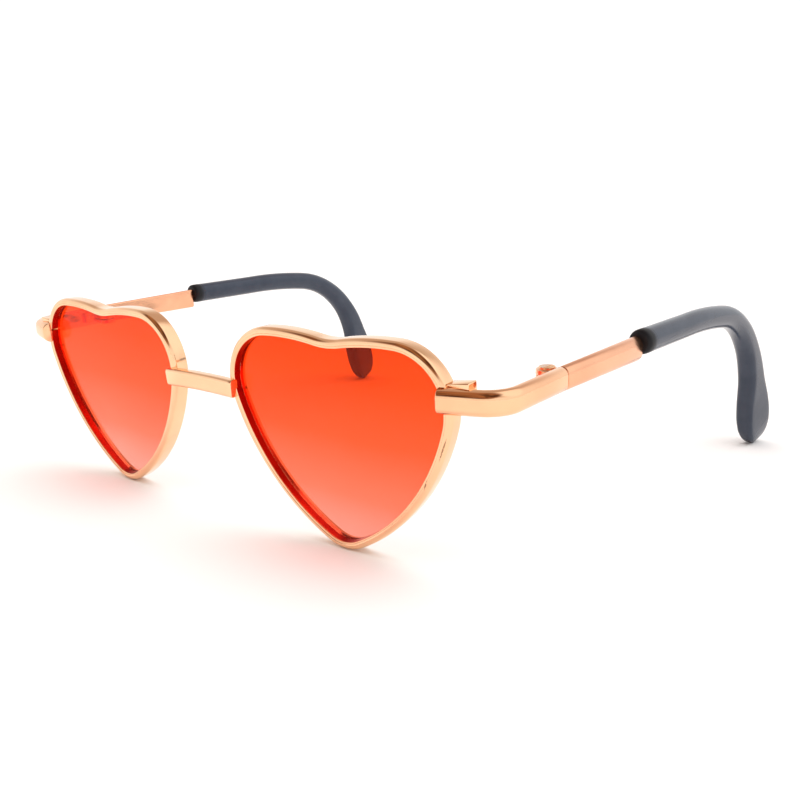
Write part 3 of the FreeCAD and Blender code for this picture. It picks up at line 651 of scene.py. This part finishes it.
for name, side in sides.items():
    endpiece = bmesh.new()
    strip_section(endpiece, strip_thickness, endpiece_height, strip_round)
    bmesh.ops.rotate(endpiece, verts=endpiece.verts, matrix=Matrix.Rotation(lead, 3, "Z"))
    bmesh.ops.translate(endpiece, verts=endpiece.verts, vec=front)
    last = carry_on(endpiece, endpiece.edges[:], ahead * reach)
    bent = bmesh.ops.spin(
        endpiece,
        geom=last,
        cent=bend_centre,
        axis=(0, 0, 1),
        angle=math.pi / 2 - lead,
        steps=endpiece_steps,
    )
    carry_on(endpiece, bent["geom_last"], (0, -seam_gap - bend_centre.y, 0))
    for vert in endpiece.verts:
        share = min(max(1 - vert.co.y / front.y, 0), 1)
        vert.co.z += share * endpiece_rise
    close_ends(endpiece, seam_round)
    finish(name + "_endpiece", endpiece, temple_place, endpiece_gold, "front", side)

# Hinges. A three knuckle barrel on the inner side of each joint: two knuckles on a leaf soldered
# to the endpiece, one on a leaf soldered to the temple bar, and a slotted screw through all three.
barrel_radius, barrel_height, knuckle_height, knuckle_gap = 1.2, 2.2, 0.8, 0.05
hinge_clearance, pivot_setback = 0.1, 0.2
leaf_thickness, leaf_length, leaf_height = 0.5, 3.0, 1.6
hinge_bore, hinge_loose_bore, hinge_screw_radius = 0.57, 0.6, 0.55
hinge_head_radius, hinge_head_height = 0.9, 0.25
hinge_slot_width, hinge_slot_depth = 0.3, 0.12
knuckle_round, leaf_softness, arm_softness = 0.1, 0.1, 0.06
knuckle_steps = 48
barrel_reach = barrel_radius + hinge_clearance
leaf_x = -strip_thickness / 2
pivot = Vector((leaf_x - barrel_reach, -pivot_setback, 0))


def knuckle(mesh, low, high, bore):
    """A turned ring of the barrel round the hinge axis."""
    ring = bmesh.new()
    soft = knuckle_round
    draw(
        ring,
        (bore, low),
        [
            (barrel_radius - soft, low),
            (barrel_radius - soft, low + soft, quarter, round_steps),
            (barrel_radius, high - soft),
            (barrel_radius - soft, high - soft, quarter, round_steps),
            (bore, high),
            (bore, low),
        ],
    )
    turn_round(ring, knuckle_steps)
    bmesh.ops.translate(ring, verts=ring.verts, vec=pivot)
    turned = bpy.data.meshes.new("knuckle")
    ring.to_mesh(turned)
    ring.free()
    mesh.from_mesh(turned)
    bpy.data.meshes.remove(turned)


hinge_gold = gold_plate(
    "hinge_gold",
    light=(0.94, 0.6, 0.4),
    deep=(0.88, 0.53, 0.34),
    polish=0.24,
    grain=(2000, 2000, 2000),
)
half_barrel, half_knuckle, half_leaf = barrel_height / 2, knuckle_height / 2, leaf_height / 2
leaf_inner = leaf_x - leaf_thickness
front_leaf_end, temple_leaf_start = pivot.y - hinge_clearance, pivot.y + barrel_reach
hinge_screw_place = temple_place @ Matrix.Translation((pivot.x, pivot.y, -half_barrel))
for name, side in sides.items():
    leaf = bmesh.new()
    block(
        leaf,
        (leaf_inner, front_leaf_end - leaf_length, -half_leaf),
        (leaf_x, front_leaf_end, half_leaf),
        leaf_softness,
    )
    knuckle(leaf, -half_barrel, -half_knuckle - knuckle_gap, hinge_bore)
    knuckle(leaf, half_knuckle + knuckle_gap, half_barrel, hinge_bore)
    finish(name + "_hinge_front_leaf", leaf, temple_place, hinge_gold, "front", side)

    leaf = bmesh.new()
    temple = name + "_temple"
    block(
        leaf,
        (leaf_inner, temple_leaf_start, -half_leaf),
        (leaf_x, temple_leaf_start + leaf_length, half_leaf),
        leaf_softness,
    )
    block(
        leaf,
        (leaf_inner, pivot.y + hinge_loose_bore, -half_knuckle),
        (leaf_x - hinge_clearance, temple_leaf_start + leaf_softness * 2, half_knuckle),
        arm_softness,
    )
    knuckle(leaf, -half_knuckle, half_knuckle, hinge_loose_bore)
    finish(name + "_hinge_temple_leaf", leaf, temple_place, hinge_gold, temple, side)

    hinge_screw = screw(
        hinge_screw_radius,
        hinge_head_radius,
        hinge_head_height,
        barrel_height,
        hinge_slot_width,
        hinge_slot_depth,
    )
    screw_name = name + "_hinge_screw"
    finish(screw_name, hinge_screw, hinge_screw_place, screw_gold, "front", side)

# Temple bars. A straight plated bar with the endpiece's section, which grows a little in height
# to its rounded far end. From there a thin core runs on inside the tip.
bar_height, bar_growth, bar_length, bar_start = 2.68, 0.13, 18.0, 0.08
bar_rise, bar_fall = 0.09, 0.23
end_round, end_steps, end_turn = 0.4, 5, math.radians(80)
core_radius, core_end, core_steps, tip_rise = 0.5, 31.0, 16, 0.2
bar_gold = gold_plate(
    "bar_gold",
    light=(0.9, 0.47, 0.285),
    deep=(0.85, 0.42, 0.25),
    polish=0.17,
    grain=(2500, 120, 2500),
)


def round_end(mesh, ring):
    """Draws a strip's open end in to a rounded end, step by step."""
    inset = 0
    for step in range(1, end_steps + 1):
        angle = end_turn * step / end_steps
        drawn_in = end_round * (1 - math.cos(angle)) - inset
        inset += drawn_in
        ring = carry_on(mesh, ring, (0, 0, 0))
        verts = verts_in(ring)
        low = Vector([min(v.co[i] for v in verts) for i in range(3)])
        high = Vector([max(v.co[i] for v in verts) for i in range(3)])
        middle, size = (low + high) / 2, high - low
        for vert in verts:
            vert.co.x -= (vert.co.x - middle.x) * 2 * drawn_in / size.x
            vert.co.z -= (vert.co.z - middle.z) * 2 * drawn_in / size.z
            vert.co.y = bar_length - end_round * (1 - math.sin(angle))


lengthwise = Matrix.Rotation(math.pi / 2, 4, "X")
core_place = Matrix.Translation((0, bar_length - seam_round, tip_rise)) @ lengthwise
for name, side in sides.items():
    bar = bmesh.new()
    strip_section(bar, strip_thickness, bar_height, strip_round)
    bmesh.ops.rotate(bar, verts=bar.verts, matrix=Matrix.Rotation(math.pi / 2, 3, "Z"))
    bmesh.ops.translate(bar, verts=bar.verts, vec=(0, bar_start, bar_rise))
    far_end = carry_on(bar, bar.edges[:], (0, bar_length - end_round - bar_start, 0))
    for vert in verts_in(far_end):
        vert.co.z += (vert.co.z - bar_rise) * bar_growth - bar_fall
    round_end(bar, far_end)
    close_ends(bar, seam_round)
    core = bmesh.ops.create_circle(bar, segments=core_steps, radius=core_radius)["verts"]
    bmesh.ops.transform(bar, matrix=core_place, verts=core)
    core_ring = once(e for v in core for e in v.link_edges)
    carry_on(bar, core_ring, (0, core_end - bar_length, 0))
    close_holes(bar)
    finish(name + "_temple_bar", bar, temple_place, bar_gold, name + "_temple", side)

# Temple tips. Moulded black plastic pushed over the core of the bar: a round sleeve with a rounded
# front end, which curves down behind the ear and flattens to a paddle with a rounded end.
sleeve_radius, sleeve_lip, sleeve_rise = 1.55, 0.5, 0.35
lead_start, lead_radius, lead_angle = 31.2, 88.0, math.radians(9)
bend_radius, bend_angle, drop_length = 17.9, math.radians(64), 11.0
paddle_width, paddle_thickness, paddle_turn = 6.5, 2.8, math.radians(10)
round_corner_share, paddle_corner_share = 0.5, 0.3
tip_segments, tip_smoothing = 32, 1
lip_shares = [0.0, 0.1, 0.3, 0.6, 1.0]
sleeve_shares = [0.08, 0.3, 0.5, 0.7, 0.9, 1.0]
# Stations along the tip: 0 where the sleeve starts to curve, 1 where the slow curve ends, 2 where
# the bend ends and 3 at the end of the paddle. The tables give shares at stations.
flat_shares = [
    (0, 0), (1, 0.03), (1.35, 0.08), (1.7, 0.22), (2, 0.5), (2.3, 0.85), (2.55, 1), (3, 1)
]
left_shares = [(0, 1), (2.55, 1), (2.75, 0.94), (2.89, 0.76), (2.97, 0.54), (3, 0.36)]
lead_steps, bend_steps, drop_steps = 6, 14, 12
end_stations = [2.75, 2.82, 2.87, 2.91, 2.945, 2.97, 2.99, 3.0]
drop_stations = [2 + i / drop_steps for i in range(drop_steps)]
tip_stations = [
    *(i / lead_steps for i in range(1, lead_steps)),
    *(1 + i / bend_steps for i in range(bend_steps)),
    *(station for station in drop_stations if station < end_stations[0]),
    *end_stations,
]


def share_at(table, station):
    for (a, low), (b, high) in zip(table, table[1:]):
        if station <= b:
            return low + (high - low) * (station - a) / (b - a)
    return table[-1][1]


def tip_ring(station):
    """The place, half thickness, half width and corner radius of the tip's section at a station."""
    place = Matrix.Translation((0, lead_start, tip_rise))
    for index, (radius, angle) in enumerate(((lead_radius, lead_angle), (bend_radius, bend_angle))):
        turn = Matrix.Rotation(-angle * min(max(station - index, 0), 1), 4, "X")
        swing = Matrix.Translation((0, 0, -radius)) @ turn @ Matrix.Translation((0, 0, radius))
        place = place @ swing
    place = place @ Matrix.Translation((0, drop_length * max(station - 2, 0), 0))
    flat = share_at(flat_shares, station)
    left = share_at(left_shares, station)
    place = place @ Matrix.Rotation(paddle_turn * flat, 4, "Y")
    thick = (sleeve_radius + (paddle_thickness / 2 - sleeve_radius) * flat) * left
    wide = (sleeve_radius + (paddle_width / 2 - sleeve_radius) * flat) * left
    corner_share = round_corner_share + (paddle_corner_share - round_corner_share) * flat
    return place, thick, wide, 2 * thick * corner_share


def sleeve_ring(y, z, radius):
    return Matrix.Translation((0, y, z)), radius, radius, radius


mottle_scale, mottle_span, mottle_roughness = 300, (0.3, 0.7), 0.04
tip_dark, tip_pale = (0.034, 0.044, 0.067, 1), (0.044, 0.055, 0.08, 1)
# The sleeve's rounded front collar is painted near black, a painted dark reflection on its lip; its
# higher roughness there is the plastic's own finish.
painted_collar_reflection, collar_roughness, collar_excess = (0.004, 0.004, 0.006, 1), 0.5, 0.35
collar_start, collar_end = 0.0008, 0.0022
flow_turn, flow_stretch = (0.1, 0, 0), (900, 60, 900)
flow_bump, flow_bump_reach, tip_ior = 0.04, 0.00005, 1.36
moulded, shader, nodes = new_material("moulded_black")
place = nodes.place()
mottle = place.noise(mottle_scale, fine_detail).band(*mottle_span)
bar_end = (stand @ temple_place @ Vector((0, bar_length, 0))).y
# On the collar the colour is the painted dark reflection; past it the tip has its own mottled
# colour.
past_collar = place.axis("Y").band(bar_end + collar_start, bar_end + collar_end)
colour = past_collar.mix(painted_collar_reflection, mottle.mix(tip_dark, tip_pale))
roughness = collar_roughness - past_collar * collar_excess + mottle * mottle_roughness
flow = nodes.place(flow_turn, flow_stretch).noise(detail=fine_detail)
normal = flow.bump(flow_bump, flow_bump_reach)
links = {"Base Color": colour, "Roughness": roughness, "Normal": normal}
set_sockets(shader, links, {"IOR": tip_ior})

rings = []
for share in lip_shares:
    angle = share * math.pi / 2
    radius = sleeve_radius - sleeve_lip * (1 - math.sin(angle))
    y = bar_length + sleeve_lip * (1 - math.cos(angle))
    rings.append(sleeve_ring(y, tip_rise + sleeve_rise, radius))
for share in sleeve_shares:
    y = bar_length + (lead_start - bar_length) * share
    rings.append(sleeve_ring(y, tip_rise + sleeve_rise * (1 - share), sleeve_radius))
rings += [tip_ring(station) for station in tip_stations]
half_step = Matrix.Rotation(math.pi / tip_segments, 3, "Z")
for name, side in sides.items():
    tip = bmesh.new()
    last = bmesh.ops.create_circle(tip, segments=tip_segments, radius=1)["verts"]
    bmesh.ops.rotate(tip, verts=last, matrix=lengthwise.to_3x3() @ half_step)
    spokes = [v.co.copy() for v in last]
    edges = tip.edges[:]
    for index, (ring_place, thick, wide, corner) in enumerate(rings):
        if index:
            drawn = bmesh.ops.extrude_edge_only(tip, edges=edges)["geom"]
            new = set(verts_in(drawn))
            others = [[e.other_vert(v) for e in v.link_edges] for v in last]
            last = [next(v for v in ends if v in new) for ends in others]
            edges = [e for e in edges_in(drawn) if set(e.verts) <= new]
        for vert, spoke in zip(last, spokes):
            x = math.copysign(thick - corner, spoke.x) + corner * spoke.x
            z = math.copysign(wide - corner, spoke.z) + corner * spoke.z
            vert.co = ring_place @ Vector((x, 0, z))
    close_holes(tip)
    temple = name + "_temple"
    piece = finish(name + "_temple_tip", tip, temple_place, moulded, temple, side)
    smoothing = piece.modifiers.new("smoothing", "SUBSURF")
    smoothing.levels = tip_smoothing
    smoothing.render_levels = tip_smoothing

# Studio. A plain white floor in a white surround. High up in front the surround is brown and dim,
# which gives the plating its dark reflections, and up on the right it is brightest. One large soft
# lamp straight above gives the shadows.
dim_side, lit_side = (0.05, -0.6, 0.8), (0.55, 0.35, 0.76)
dim_span, dim_rise, lit_span = (0.66, 0.84), (0.15, 0.4), (0.75, 0.92)
low_white, high_grey, lit_white = (1.1, 1.1, 1.1, 1), (0.6, 0.48, 0.41, 1), (1.25, 1.25, 1.25, 1)
dark_brown, pale_brown = (0.06, 0.03, 0.018, 1), (0.4, 0.2, 0.1, 1)
clutter_scale, clutter_span, sky_rise = 2.2, (0.35, 0.65), (0.3, 0.75)
lamp_spread, lamp_energy = math.radians(80), 2.05
floor_reach = 3
paper_white, paper_roughness = (0.95, 0.95, 0.95, 1), 0.9
tooth_scale, tooth_bump, tooth_bump_reach = 700, 0.02, 0.0001
scene = bpy.context.scene
scene.view_settings.view_transform = "Standard"
surround = bpy.data.worlds.new("surround")
surround.use_nodes = True
scene.world = surround
nodes = Shade(surround.node_tree)
direction = nodes.node("TexCoord", {}, {}, "Generated")


def nearness(side):
    """How near the direction that is looked in is to a side."""
    return nodes.node("VectorMath", {"operation": "DOT_PRODUCT"}, {0: direction, 1: side}, "Value")


level = direction.axis("Z")
clutter = direction.noise(clutter_scale).band(*clutter_span).mix(dark_brown, pale_brown)
sky = level.band(*sky_rise).mix(low_white, high_grey)
sky = nearness(lit_side).band(*lit_span).mix(sky, lit_white)
sky = (nearness(dim_side).band(*dim_span) * level.band(*dim_rise)).mix(sky, clutter)
background = surround.node_tree.nodes["Background"]
set_sockets(background, {"Color": sky}, {"Strength": 1.0})

lamp_data = bpy.data.lights.new("overhead", "SUN")
lamp_data.angle = lamp_spread
lamp_data.energy = lamp_energy
lamp = bpy.data.objects.new("overhead", lamp_data)
lamp.visible_glossy = False
scene.collection.objects.link(lamp)

floor_mesh = bmesh.new()
bmesh.ops.create_grid(floor_mesh, x_segments=1, y_segments=1, size=floor_reach)
floor_data = bpy.data.meshes.new("floor")
floor_mesh.to_mesh(floor_data)
floor_mesh.free()
paper, shader, nodes = new_material("white_paper")
tooth = nodes.place().noise(tooth_scale, finest_detail).bump(tooth_bump, tooth_bump_reach)
set_sockets(shader, {"Normal": tooth}, {"Base Color": paper_white, "Roughness": paper_roughness})
floor_data.materials.append(paper)
floor = bpy.data.objects.new("floor", floor_data)
scene.collection.objects.link(floor)

# Camera. It stands to the right of the front, a little above the glasses, as in the photograph.
# Its place, turn and lens are measured from the photograph.
camera_turn, camera_pitch, camera_roll = (math.radians(a) for a in (39.0, 13.0563, -0.1229))
camera_spot = Vector((0.086881, -0.108614, 0.040047))
camera_lens, camera_sensor, camera_nearest = 41.1629, 36, 0.005
level_right = Vector((math.cos(camera_turn), math.sin(camera_turn), 0))
sight = Vector((-math.sin(camera_turn), math.cos(camera_turn), -math.tan(camera_pitch)))
sight.normalize()
level_up = level_right.cross(sight)
camera_right = math.cos(camera_roll) * level_right + math.sin(camera_roll) * level_up
camera_up = -math.sin(camera_roll) * level_right + math.cos(camera_roll) * level_up
camera_data = bpy.data.cameras.new("camera")
camera_data.lens = camera_lens
camera_data.sensor_width = camera_sensor
camera_data.clip_start = camera_nearest
camera = bpy.data.objects.new("camera", camera_data)
axes = Matrix((camera_right, camera_up, -sight)).transposed().to_4x4()
camera.matrix_world = Matrix.Translation(camera_spot) @ axes
scene.collection.objects.link(camera)
scene.camera = camera
